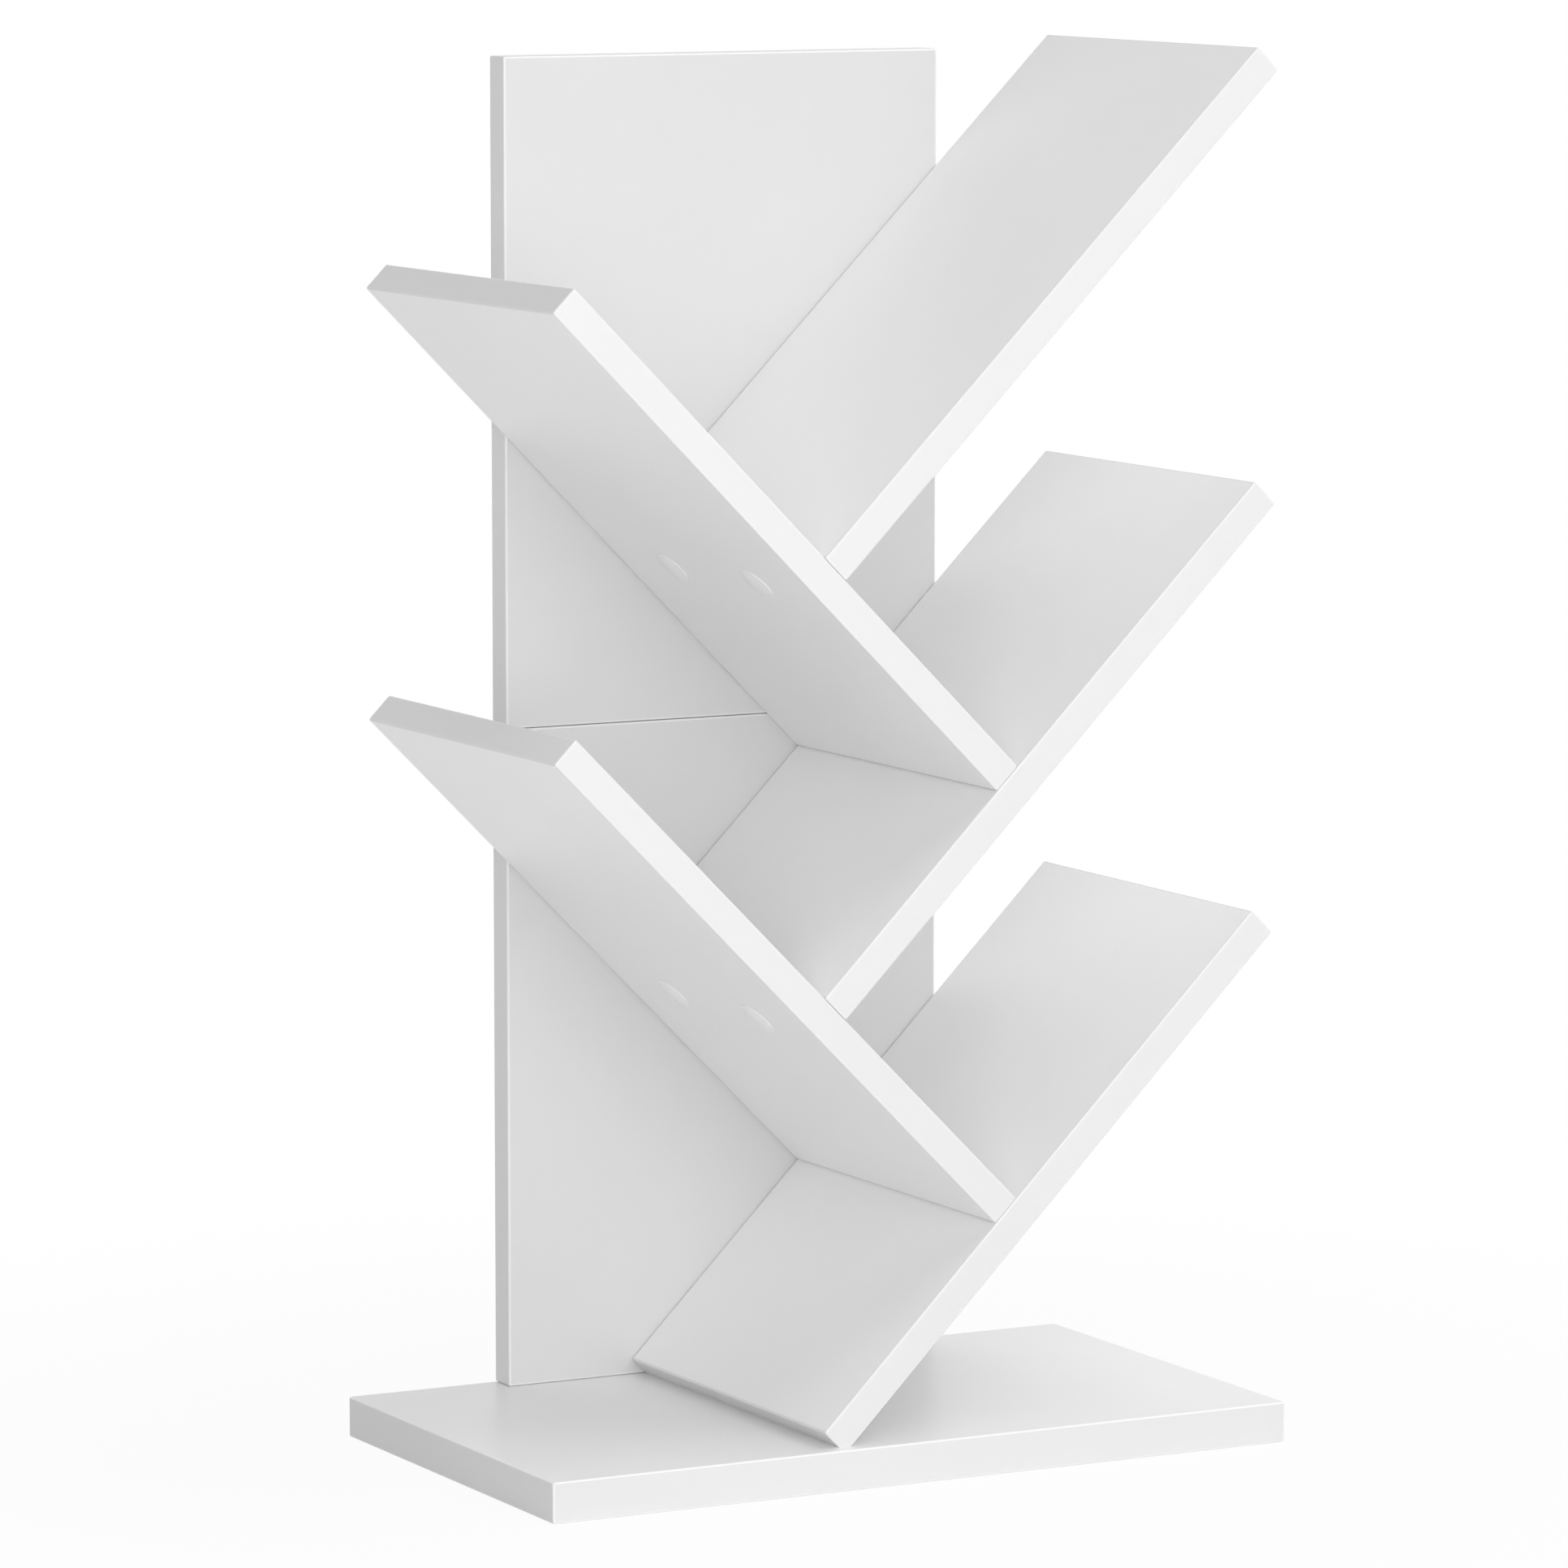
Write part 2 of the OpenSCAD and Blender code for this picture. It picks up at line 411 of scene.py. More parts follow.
@dataclass(frozen=True)
class ConnectingScrew:
    """A countersunk furniture screw with a hex socket and a coarse thread."""

    shank_r: float = 2.5 * MM
    root_r: float = 1.9 * MM
    length: float = 40 * MM
    head_r: float = 4.5 * MM
    rim: float = 0.5 * MM
    rim_round: float = 0.12 * MM
    sink: float = 0.2 * MM
    socket_af: float = 3 * MM
    socket_depth: float = 2.2 * MM
    socket_chamfer: float = 0.15 * MM
    socket_cone: float = 0.3 * MM
    thread_pitch: float = 2.2 * MM
    thread_start: float = 6 * MM
    root_runout: float = 0.2 * MM
    shank_runout: float = 0.8 * MM
    ridge_reach: float = 0.28
    tip_len: float = 4 * MM
    tip_power: float = 0.6
    play: float = 0.1 * MM
    end_play: float = 0.6 * MM
    columns: int = 48
    rows_per_pitch: int = 8

    @property
    def top(self) -> float:
        """Height of the head's face."""
        return -self.sink

    @property
    def neck(self) -> float:
        """Height at which the head's cone, which falls at 45 degrees, meets the shank."""
        return self.top - self.rim - (self.head_r - self.shank_r)

    def surface(self) -> Surface:
        """The screw, its head's face just below z = 0 and its tip down.

        The rings run from the tip up the thread to the head's rim, over its face and down into
        the socket, whose rings are hexagons. The thread's radius is the root's plus a ridge that
        climbs one pitch for each turn about the axis. It shrinks to nothing at the tip, by a
        power of the way there, and the ridge fades over the thread's last pitch.

        Returns:
            The screw's closed surface.
        """
        start, tip = self.top - self.thread_start, self.top - self.length
        turns = np.arange(self.columns) / self.columns
        rows = int((self.length - self.thread_start) / self.thread_pitch * self.rows_per_pitch)
        z = np.linspace(tip, start, rows)[:, None]
        phase = np.mod(z / self.thread_pitch - turns, 1.0)
        ridge = np.clip(1 - np.abs(phase - 0.5) / self.ridge_reach, 0, 1)
        taper = np.clip((z - tip) / self.tip_len, 0, 1) ** self.tip_power
        fade = np.clip((start - z) / self.thread_pitch, 0, 1)
        thread = (self.root_r + (self.shank_r - self.root_r) * ridge * fade) * taper
        thread_z = np.broadcast_to(z, thread.shape)

        top, bevel = self.top, self.rim_round
        socket = hex_radius(self.socket_af, self.columns)
        floor_z = top - self.socket_depth
        rows_above: list[Ring] = [
            (self.root_r, start + self.root_runout),
            (self.shank_r, start + self.shank_runout),
            (self.shank_r, self.neck),
            (self.head_r, top - self.rim),
            (self.head_r, top - bevel),
            (self.head_r - ARC_MIDDLE * bevel, top - ARC_MIDDLE * bevel),
            (self.head_r - bevel, top),
            (socket + self.socket_chamfer, top),
            (socket, top - self.socket_chamfer),
            (socket, floor_z),
            (0.0, floor_z - self.socket_cone),
        ]
        radii, heights = rings(rows_above, self.columns)
        return turned(np.vstack([thread, radii]), np.vstack([thread_z, heights]))

    def hole(self) -> Surface:
        """The hole for the screw, with its play, from above the face to past the tip.

        Returns:
            The hole's closed surface.
        """
        bottom = self.top - self.length - self.end_play
        profile: list[Ring] = [
            (0.0, bottom),
            (self.shank_r + self.play, bottom),
            (self.shank_r + self.play, self.neck),
            (self.head_r + self.play, self.top - self.rim),
            (self.head_r + self.play, CUTTER_RISE),
            (0.0, CUTTER_RISE),
        ]
        return turned(*rings(profile, self.columns))


@dataclass(frozen=True)
class ScrewCover:
    """A round push-in cover: a low dome with a thin bevelled rim on a hexagonal stem."""

    radius: float = 7.5 * MM
    thickness: float = 1 * MM
    rim: float = 0.3 * MM
    bevel: float = 0.08 * MM
    undercut: float = 0.12 * MM
    stem_af: float = 2.9 * MM
    stem_len: float = 1.8 * MM
    stem_chamfer: float = 0.2 * MM
    dome_near_rim: tuple[float, ...] = (0.97, 0.94, 0.9, 0.85, 0.78)
    dome_middle: tuple[float, ...] = (0.7, 0.6, 0.5, 0.4, 0.3, 0.2, 0.1, 0.0)
    columns: int = 96

    def surface(self) -> Surface:
        """The cover, lying on z = 0 with its stem below.

        From the stem's foot up: the stem's hexagons, the flat back, the rim with its undercut
        and its bevel, and the dome, which falls from the middle with the square of the radius.

        Returns:
            The cover's closed surface.
        """
        stem = hex_radius(self.stem_af, self.columns)
        rows: list[Ring] = [
            (0.0, -self.stem_len),
            (stem - self.stem_chamfer, -self.stem_len),
            (stem, -self.stem_len + self.stem_chamfer),
            (stem, 0.0),
            (self.radius - self.undercut, 0.0),
            (self.radius, self.undercut),
            (self.radius, self.rim - self.bevel),
        ]
        crown = self.thickness - self.rim
        shares = (1 - self.bevel / self.radius, *self.dome_near_rim, *self.dome_middle)
        rows += [(self.radius * s, self.thickness - crown * s**2) for s in shares]
        return turned(*rings(rows, self.columns))


@dataclass(frozen=True)
class Dowel:
    """A fluted hardwood dowel with chamfered ends."""

    radius: float = 3 * MM
    length: float = 30 * MM
    chamfer: float = 0.8 * MM
    flutes: int = 20
    flute_depth: float = 0.18 * MM
    play: float = 0.05 * MM
    end_play: float = 0.6 * MM
    columns: int = 160
    hole_columns: int = 48

    def surface(self) -> Surface:
        """The dowel, standing on z = 0: its radius dips by the flutes' depth along each flute.

        Returns:
            The dowel's closed surface.
        """
        along = np.cos(self.flutes * angles_of(self.columns))
        body = self.radius - self.flute_depth * np.clip(along, 0, 1)
        end = self.radius - self.chamfer
        rows: list[Ring] = [
            (0.0, 0.0),
            (end, 0.0),
            (body, self.chamfer),
            (body, self.length - self.chamfer),
            (end, self.length),
            (0.0, self.length),
        ]
        return turned(*rings(rows, self.columns))

    def hole(self) -> Surface:
        """The hole for the dowel, with its play all round and at both ends.

        Returns:
            The hole's closed surface.
        """
        low, high, r = -self.end_play, self.length + self.end_play, self.radius + self.play
        rows: list[Ring] = [(0.0, low), (r, low), (r, high), (0.0, high)]
        return turned(*rings(rows, self.hole_columns))


@dataclass(frozen=True)
class RoundedBoard:
    """A flat board with every edge rounded, drawn about its own middle."""

    size: tuple[float, float, float]
    radius: float
    arc_steps: int = 5
    border: float = 0.5 * MM

    @property
    def core(self) -> Array:
        """Half the board's size, less the radius: the box on which the edges' ball rolls."""
        return np.array(self.size) / 2 - self.radius

    def stations(self, axis: int) -> Array:
        """Places of the lattice along one axis, from one end to the other.

        Each half of a rounded edge is stepped by equal angles, so a station there stands the
        radius times the angle's tangent past the core's end. One more borders the flat.

        Args:
            axis: Number of the axis.

        Returns:
            The places, the board's middle at 0.
        """
        end = self.core[axis]
        outer = end + self.radius * np.tan(np.linspace(0, math.pi / 4, self.arc_steps + 1))
        half = np.concatenate([[end - self.border], outer])
        return np.concatenate([-half[::-1], half])

    def surface(self) -> Surface:
        """The board's skin: a box shaped lattice of points, each pulled onto the rounded form.

        A point is clipped to the core, and stands one radius from there in the direction of
        what the clip took off. On a flat that changes nothing, along an edge it draws a
        quarter cylinder, and on a corner an eighth of a ball.

        Returns:
            The closed surface, its middle at the origin.
        """
        axes = [self.stations(a) for a in range(3)]
        shape = tuple(len(a) for a in axes)
        number = np.indices(shape)
        skin = np.zeros(shape, bool)
        for index, count in zip(number, shape):
            skin |= (index == 0) | (index == count - 1)
        ids = np.full(shape, -1)
        ids[skin] = np.arange(int(skin.sum()))
        lattice = np.stack([axes[a][number[a][skin]] for a in range(3)], axis=-1)
        clipped = np.clip(lattice, -self.core, self.core)
        reach = lattice - clipped
        points = clipped + self.radius * reach / np.linalg.norm(reach, axis=1, keepdims=True)
        faces: list[list[int]] = []
        for axis in range(3):
            for end in (0, -1):
                cells = quads_of_grid(np.take(ids, end, axis=axis))
                outward = (end == -1) == (axis != 1)
                faces += cells if outward else [c[::-1] for c in cells]
        return Surface(points, faces)

    def normals(self, points: Array) -> tuple[Array, Array]:
        """Outward directions of the rounded form at points on it.

        Args:
            points: Points in the board's own frame.

        Returns:
            The unit direction at each point, and how far the point lies off the form.
        """
        reach = points - np.clip(points, -self.core, self.core)
        length = np.linalg.norm(reach, axis=1)
        unit = reach / np.maximum(length, TINY)[:, None]
        return unit, np.abs(length - self.radius)


@dataclass
class Drilling:
    """The holes of one board, in the shelf's frame."""

    holes: list[Surface] = field(default_factory=list)

    def screws(self, places: list[Place]) -> "Drilling":
        """Adds the holes of screws and returns the drilling."""
        self.holes += [ConnectingScrew().hole().placed(place) for place in places]
        return self

    def dowels(self, places: list[Place]) -> "Drilling":
        """Adds the holes of dowels and returns the drilling."""
        self.holes += [Dowel().hole().placed(place) for place in places]
        return self


@dataclass(frozen=True)
class NodeColour:
    """A colour written as it is seen, from 0 to 1 in each channel."""

    red: float
    green: float
    blue: float

    @staticmethod
    def grey(tone: float) -> "NodeColour":
        """A grey, from black at 0 to white at 1."""
        return NodeColour(tone, tone, tone)

    def linear(self) -> tuple[float, float, float, float]:
        """The colour in linear light, as shader sockets take it, by the curve of sRGB.

        Returns:
            Red, green, blue and a full alpha. Each is the seen value over 12.92 near black, and
            elsewhere a power of 2.4 of the value that is raised by 0.055 and scaled back to 1.
        """
        seen = (self.red, self.green, self.blue)
        lin = [c / 12.92 if c <= 0.04045 else ((c + 0.055) / 1.055) ** 2.4 for c in seen]
        return (lin[0], lin[1], lin[2], 1.0)


@dataclass(frozen=True)
class Noise:
    """A noise pattern: how many times it repeats in a metre, and how finely it breaks up."""

    per_m: float
    detail: float


Feed = Socket | NodeColour | float | tuple[float, ...] | None


class Nodes:
    """A small helper that lays out the nodes of a material or of the world."""

    # Where nearly all of a noise pattern's values lie.
    NOISE_LOW, NOISE_HIGH = 0.3, 0.7
    # The numbers of the Mix node's sockets for colours.
    MIX_FIRST, MIX_SECOND, MIX_RESULT = 6, 7, 2

    def __init__(self, owner: bpy.types.Material | bpy.types.World) -> None:
        """Starts the owner's node tree afresh.

        Args:
            owner: The material or the world.
        """
        owner.use_nodes = True
        self.tree = owner.node_tree
        self.tree.nodes.clear()

    def node(
        self, kind: str, feeds: dict[str | int, Feed] | None = None, **settings: object
    ) -> bpy.types.Node:
        """Adds a node.

        Args:
            kind: The node's type, without the leading ShaderNode.
            feeds: What its inputs take: another node's output, a colour or a number. None
                leaves an input as it is.
            settings: Attributes to set on the node.

        Returns:
            The node.
        """
        made = self.tree.nodes.new("ShaderNode" + kind)
        for key, value in settings.items():
            setattr(made, key, value)
        for key, source in (feeds or {}).items():
            if isinstance(source, Socket):
                self.tree.links.new(source, made.inputs[key])
            elif isinstance(source, NodeColour):
                made.inputs[key].default_value = source.linear()
            elif source is not None:
                made.inputs[key].default_value = source
        return made

    def noise(self, place: Socket, pattern: Noise) -> Socket:
        """The value of a noise pattern at a point."""
        feeds = {"Scale": pattern.per_m, "Detail": pattern.detail, "Vector": place}
        return self.node("TexNoise", feeds).outputs["Fac"]

    def ranged(self, value: Socket, low: float, high: float) -> Socket:
        """Maps a noise pattern's usual range onto low to high."""
        feeds = {"Value": value, "From Min": self.NOISE_LOW, "From Max": self.NOISE_HIGH}
        return self.node("MapRange", feeds | {"To Min": low, "To Max": high}).outputs["Result"]

    def blend(self, share: Socket, first: Socket | NodeColour, second: NodeColour) -> Socket:
        """Blends two colours by the second one's share, from 0 to 1."""
        feeds = {"Factor": share, self.MIX_FIRST: first, self.MIX_SECOND: second}
        return self.node("Mix", feeds, data_type="RGBA").outputs[self.MIX_RESULT]

    def bump(self, height: Socket, depth: float, below: Socket | None = None) -> Socket:
        """Turns a pattern into relief of that depth, on top of an earlier one."""
        feeds = {"Strength": 1.0, "Distance": depth, "Height": height, "Normal": below}
        return self.node("Bump", feeds).outputs["Normal"]

    def seen_ray(self) -> Socket:
        """Tells rays which show a surface from rays that light one.

        Returns:
            A value of 1 for the camera's rays and for those in reflections and glass, or else 0.
        """
        path = self.node("LightPath")
        seen = path.outputs["Is Camera Ray"]
        for kind in ("Is Glossy Ray", "Is Transmission Ray"):
            either = self.node("Math", {0: seen, 1: path.outputs[kind]}, operation="MAXIMUM")
            seen = either.outputs[0]
        return seen


@dataclass(frozen=True)
class Finish:
    """A finish that is clouded in two tones and finely grained.

    The roughness runs from its first value to its second with the grain.
    """

    name: str
    light: NodeColour
    dark: NodeColour
    clouds: Noise
    grain: Noise
    grain_depth: float
    roughness: tuple[float, float]
    metallic: float = 0.0
    stretch: tuple[float, float, float] | None = None

    def colour(self, s: Nodes, place: Socket) -> Socket:
        """The clouded colour at a point."""
        return s.blend(s.ranged(s.noise(place, self.clouds), 0.0, 1.0), self.light, self.dark)

    def relief(self, s: Nodes, place: Socket, grain: Socket) -> Socket:
        """The surface's direction at a point, with the grain there."""
        return s.bump(grain, self.grain_depth)

    def material(self) -> bpy.types.Material:
        """Lays out the finish's nodes.

        Returns:
            The material.
        """
        material = bpy.data.materials.new(self.name)
        s = Nodes(material)
        place = s.node("TexCoord").outputs["Object"]
        if self.stretch is not None:
            stretched = s.node("Mapping", {"Vector": place, "Scale": self.stretch})
            place = stretched.outputs["Vector"]
        grain = s.noise(place, self.grain)
        low, high = self.roughness
        feeds = {
            "Base Color": self.colour(s, place),
            "Roughness": low if low == high else s.ranged(grain, low, high),
            "Normal": self.relief(s, place, grain),
            "Metallic": self.metallic,
        }
        shader = s.node("BsdfPrincipled", feeds)
        s.node("OutputMaterial", {"Surface": shader.outputs["BSDF"]})
        return material


@dataclass(frozen=True)
class BoardFinish(Finish):
    """Satin white facing on board: faint mottling, a fine pearl grain and a slow wave.

    The rounded edges take a painted tone of their own: painted highlight and shade lines, fitted to
    those that the light draws along the edges.
    """

    clouds: Noise = Noise(14.0, 3.0)
    grain: Noise = Noise(1400.0, 2.0)
    grain_depth: float = 0.012 * MM
    roughness: tuple[float, float] = (0.29, 0.39)
    wave: Noise = Noise(55.0, 1.0)
    wave_depth: float = 0.05 * MM
    # Painted highlight and shade lines: the tone of the rounded edges, fitted to the lines that the
    # light draws along them.
    edge: NodeColour = NodeColour.grey(0.907)

    @staticmethod
    def of_greys(name: str, face: float, mottle: float, **others: NodeColour) -> "BoardFinish":
        """A finish whose face and mottling are greys."""
        return BoardFinish(name, NodeColour.grey(face), NodeColour.grey(mottle), **others)

    def colour(self, s: Nodes, place: Socket) -> Socket:
        """The clouded colour at a point, or the painted edge tone, for painted highlight and shade
        lines, where its mark says so.
        """
        painted_edge_share = s.node("Attribute", attribute_name=PAINTED_EDGE_MARK).outputs["Fac"]
        return s.blend(painted_edge_share, super().colour(s, place), self.edge)

    def relief(self, s: Nodes, place: Socket, grain: Socket) -> Socket:
        """The surface's direction at a point, with the grain there on top of the wave."""
        return s.bump(grain, self.grain_depth, s.bump(s.noise(place, self.wave), self.wave_depth))


class Coat(Enum):
    """What covers a face of a board, by its place among the board's materials."""

    FACING = 0
    BAND = 1
    CORE = 2


@dataclass(frozen=True)
class BoardFinishes:
    """The boards' finishes: a facing for each kind of board, the edge bands and the core.

    The core is the bare fibreboard that shows in the drilled holes: pale brown, short fibred and
    dull.
    """

    shelf: BoardFinish = BoardFinish.of_greys("white_shelf_facing", 0.968, 0.962)
    # The back's facing is a darker white than the shelves', a painted shade for the shade that
    # falls on the back between the shelves.
    back: BoardFinish = BoardFinish.of_greys("white_back_facing_painted_shade", 0.843, 0.837)
    base: BoardFinish = BoardFinish.of_greys("white_base_facing", 0.963, 0.957)
    band: BoardFinish = BoardFinish.of_greys("white_edge_band", 0.885, 0.880)
    # The base's band paints a lighter edge tone: painted highlight lines along the base's rounded
    # edges.
    base_band_painted_highlight: BoardFinish = BoardFinish.of_greys(
        "white_base_band_painted_highlight", 0.885, 0.880, edge=NodeColour.grey(0.935)
    )
    core: Finish = Finish(
        "raw_fibreboard_core",
        light=NodeColour(0.76, 0.65, 0.50),
        dark=NodeColour(0.63, 0.51, 0.37),
        clouds=Noise(2200.0, 4.0),
        grain=Noise(2200.0, 4.0),
        grain_depth=0.08 * MM,
        roughness=(0.85, 0.85),
    )


@dataclass(frozen=True)
class HardwareFinishes:
    """The finishes of the covers, the screws and the dowels.

    The covers are satin white moulded plastic with the mould's fine spark texture. The screws are
    steel with bright, slightly clouded zinc plating. The dowels are plain beech, with its fine
    grain running up them.
    """

    cover: Finish = Finish(
        "white_cover_plastic",
        light=NodeColour.grey(0.98),
        dark=NodeColour.grey(0.972),
        clouds=Noise(120.0, 2.0),
        grain=Noise(2600.0, 2.0),
        grain_depth=0.006 * MM,
        roughness=(0.32, 0.40),
    )
    screw: Finish = Finish(
        "zinc_plated_steel",
        light=NodeColour(0.82, 0.83, 0.85),
        dark=NodeColour(0.74, 0.75, 0.78),
        clouds=Noise(260.0, 3.0),
        grain=Noise(4200.0, 2.0),
        grain_depth=0.004 * MM,
        roughness=(0.22, 0.38),
        metallic=1.0,
    )
    dowel: Finish = Finish(
        "plain_beech",
        light=NodeColour(0.84, 0.70, 0.53),
        dark=NodeColour(0.72, 0.56, 0.39),
        clouds=Noise(1800.0, 4.0),
        grain=Noise(1800.0, 4.0),
        grain_depth=0.05 * MM,
        roughness=(0.52, 0.70),
        stretch=(1.0, 1.0, 0.06),
    )


def make_piece(
    name: str, mesh: bpy.types.Mesh, materials: list[bpy.types.Material]
) -> bpy.types.Object:
    """Puts a finished mesh into the scene in the place of the node of the same piece.

    Args:
        name: The CAD node that the piece stands for. The piece is named after it.
        mesh: The piece's mesh, in the shelf's frame.
        materials: The piece's materials, in the order in which its faces number them.

    Returns:
        The piece, riding on the shelf's one body.
    """
    mesh.name = name + "_finished"
    for material in materials:
        mesh.materials.append(material)
    piece = add_object(name + "_finished", mesh)
    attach(piece, BODY)
    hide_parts(name)
    log.info("%s: %d faces", piece.name, len(mesh.polygons))
    return piece


def drilled(mesh: bpy.types.Mesh, cuts: list[Surface]) -> bpy.types.Mesh:
    """Takes closed forms out of a board's mesh.

    Args:
        mesh: The board's closed mesh.
        cuts: The forms, such as all the holes.

    Returns:
        A new mesh without what they take up.
    """
    board = add_object("board_blank", mesh)
    tools = []
    for number, form in enumerate(cuts):
        name = f"drill_{number}"
        tools.append(add_object(name, form.to_mesh(name)))
        cut = board.modifiers.new(name, "BOOLEAN")
        cut.object = tools[-1]
        cut.operation = "DIFFERENCE"
        cut.solver = "EXACT"
    bpy.context.view_layer.update()
    seen = board.evaluated_get(bpy.context.evaluated_depsgraph_get())
    made = bpy.data.meshes.new_from_object(seen)
    for done in [board, *tools]:
        bpy.data.objects.remove(done)
    return made


@dataclass
class Board:
    """One board of the shelf: its form, its frame, its holes and what is sawn off."""

    node: str
    form: RoundedBoard
    place: Place
    drilling: Drilling
    sawn: list[Surface] = field(default_factory=list)

    # How many times faster the edges' mark rises than the direction turns.
    MARK_RISE = 2.5
    # A corner with a smaller share of its face's direction belongs to a hole's wall.
    SAME_SIDE = 0.6
    # A face whose direction has a greater share on an axis is square to it.
    SQUARE = 0.9999

    def build(self, materials: list[bpy.types.Material]) -> bpy.types.Object:
        """Makes the board, drills it, coats its faces and gives it exact shading.

        Args:
            materials: The facing, the edge band and the core, in the order of Coat.

        Returns:
            The finished piece.
        """
        blank = self.form.surface().placed(self.place).to_mesh(self.node)
        mesh = drilled(blank, [Surface.joined(self.drilling.holes), *self.sawn])
        points = read(mesh.vertices, "co", np.float64, 3).reshape(-1, 3)
        own = (points - self.place.origin) @ self.place.axes.T
        unit, off = self.form.normals(own)
        self.mark_painted_edges(mesh, unit, off)
        self.finish_faces(mesh, unit @ self.place.axes, off)
        return make_piece(self.node, mesh, materials)

    def mark_painted_edges(self, mesh: bpy.types.Mesh, unit: Array, off: Array) -> None:
        """Writes how much each point belongs to a rounded edge.

        A flat's direction lies along one axis, so its largest share is 1. Half way round an
        edge it is the cosine of 45 degrees. The mark rises from 0 on the flat to 1, which it
        keeps over the middle of the edge. The boards' materials paint their edge tone by it:
        painted highlight and shade lines along the rounded edges.

        Args:
            mesh: The drilled mesh.
            unit: Direction of the rounded form at each point, in the board's own frame.
            off: How far each point lies off that form.
        """
        turn = np.arccos(np.clip(np.abs(unit).max(axis=1), 0, 1)) / (math.pi / 4)
        painted_edge_share = np.where(off < ON_FORM, np.clip(turn * self.MARK_RISE, 0, 1), 0.0)
        layer = mesh.attributes.new(PAINTED_EDGE_MARK, "FLOAT", "POINT")
        layer.data.foreach_set("value", painted_edge_share.astype(np.float32))

    def finish_faces(self, mesh: bpy.types.Mesh, unit: Array, off: Array) -> None:
        """Coats each face, and gives the skin's corners the rounded form's own directions.

        A face whose points all lie on the form is skin: facing where it points along the
        board's thickness, or else edge band. Any other is a hole's wall, which is bare core, or
        a sawn flat, which points straight down and is banded. Both keep their own directions.

        Args:
            mesh: The drilled mesh.
            unit: Direction of the rounded form at each point, in the shelf's frame.
            off: How far each point lies off that form.
        """
        vertex = read(mesh.loops, "vertex_index", np.int32)
        starts = read(mesh.polygons, "loop_start", np.int32)
        totals = read(mesh.polygons, "loop_total", np.int32)
        facing = read(mesh.polygons, "normal", np.float32, 3).reshape(-1, 3)
        count = len(mesh.polygons)
        face_of = np.repeat(np.arange(count), totals)
        worst = np.maximum.reduceat(off[vertex], starts)
        agree = (facing[face_of] * unit[vertex]).sum(axis=1)
        least = np.minimum.reduceat(agree, starts)
        is_skin = (worst < ON_FORM) & (least > self.SAME_SIDE)

        across = self.place.axes[int(np.argmin(self.form.size))]
        is_flat = np.abs(facing @ across) > self.SQUARE
        is_sawn = (facing[:, 2] < -self.SQUARE) if self.sawn else np.zeros(count, bool)
        coats = [Coat.FACING.value, Coat.BAND.value]
        coat = np.select([is_skin & is_flat, is_skin | is_sawn], coats, Coat.CORE.value)
        mesh.polygons.foreach_set("material_index", coat.astype(np.int32))

        directions = np.where(is_skin[face_of][:, None], unit[vertex], facing[face_of])
        mesh.polygons.foreach_set("use_smooth", np.ones(count, bool))
        mesh.normals_split_custom_set(directions.tolist())


